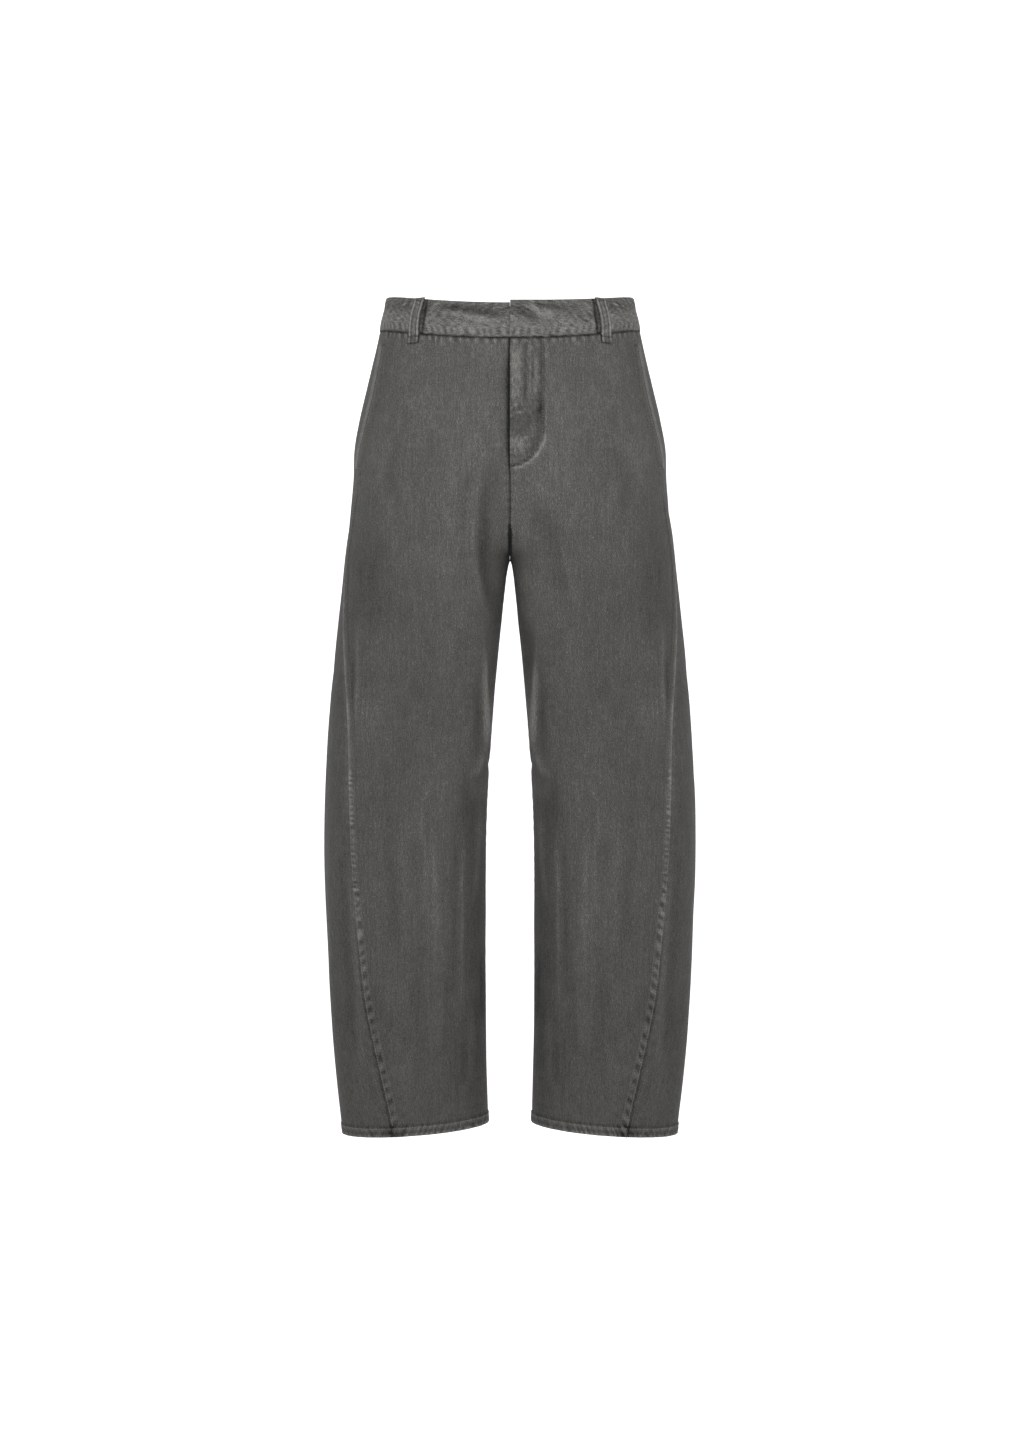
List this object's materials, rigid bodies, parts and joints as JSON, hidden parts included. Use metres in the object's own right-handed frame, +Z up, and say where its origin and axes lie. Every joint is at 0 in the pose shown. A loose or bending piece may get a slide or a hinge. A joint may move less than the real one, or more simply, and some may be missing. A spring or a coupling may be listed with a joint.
{
  "type": "barrel-leg jeans",
  "caption": "High-rise denim trousers with curved barrel legs, filled out as if worn and open at waist and hems.",
  "frame": {"origin": "middle of the open waist, level with the top of the waistband at the wearer's sides", "axes": "+X to the wearer's left, +Y to the wearer's back, +Z up"},
  "size_m": [0.4612, 0.2614, 1.0435],
  "materials": {
    "denim": "washed-black cotton denim, matt, worn paler along the seams",
    "pocketing": "plain grey cotton pocketing, matt"
  },
  "bodies": {
    "root": {"front_left": "denim", "front_right": "denim", "back_left": "denim", "back_right": "denim", "waistband_left": "denim", "waistband_right": "denim", "belt_loop_front_left": "denim", "belt_loop_front_right": "denim", "belt_loop_back_left": "denim", "belt_loop_back_right": "denim", "belt_loop_centre_back": "denim", "fly_shield": "denim", "pocket_bag_left": "pocketing", "pocket_bag_right": "pocketing"}
  },
  "joints": []
}
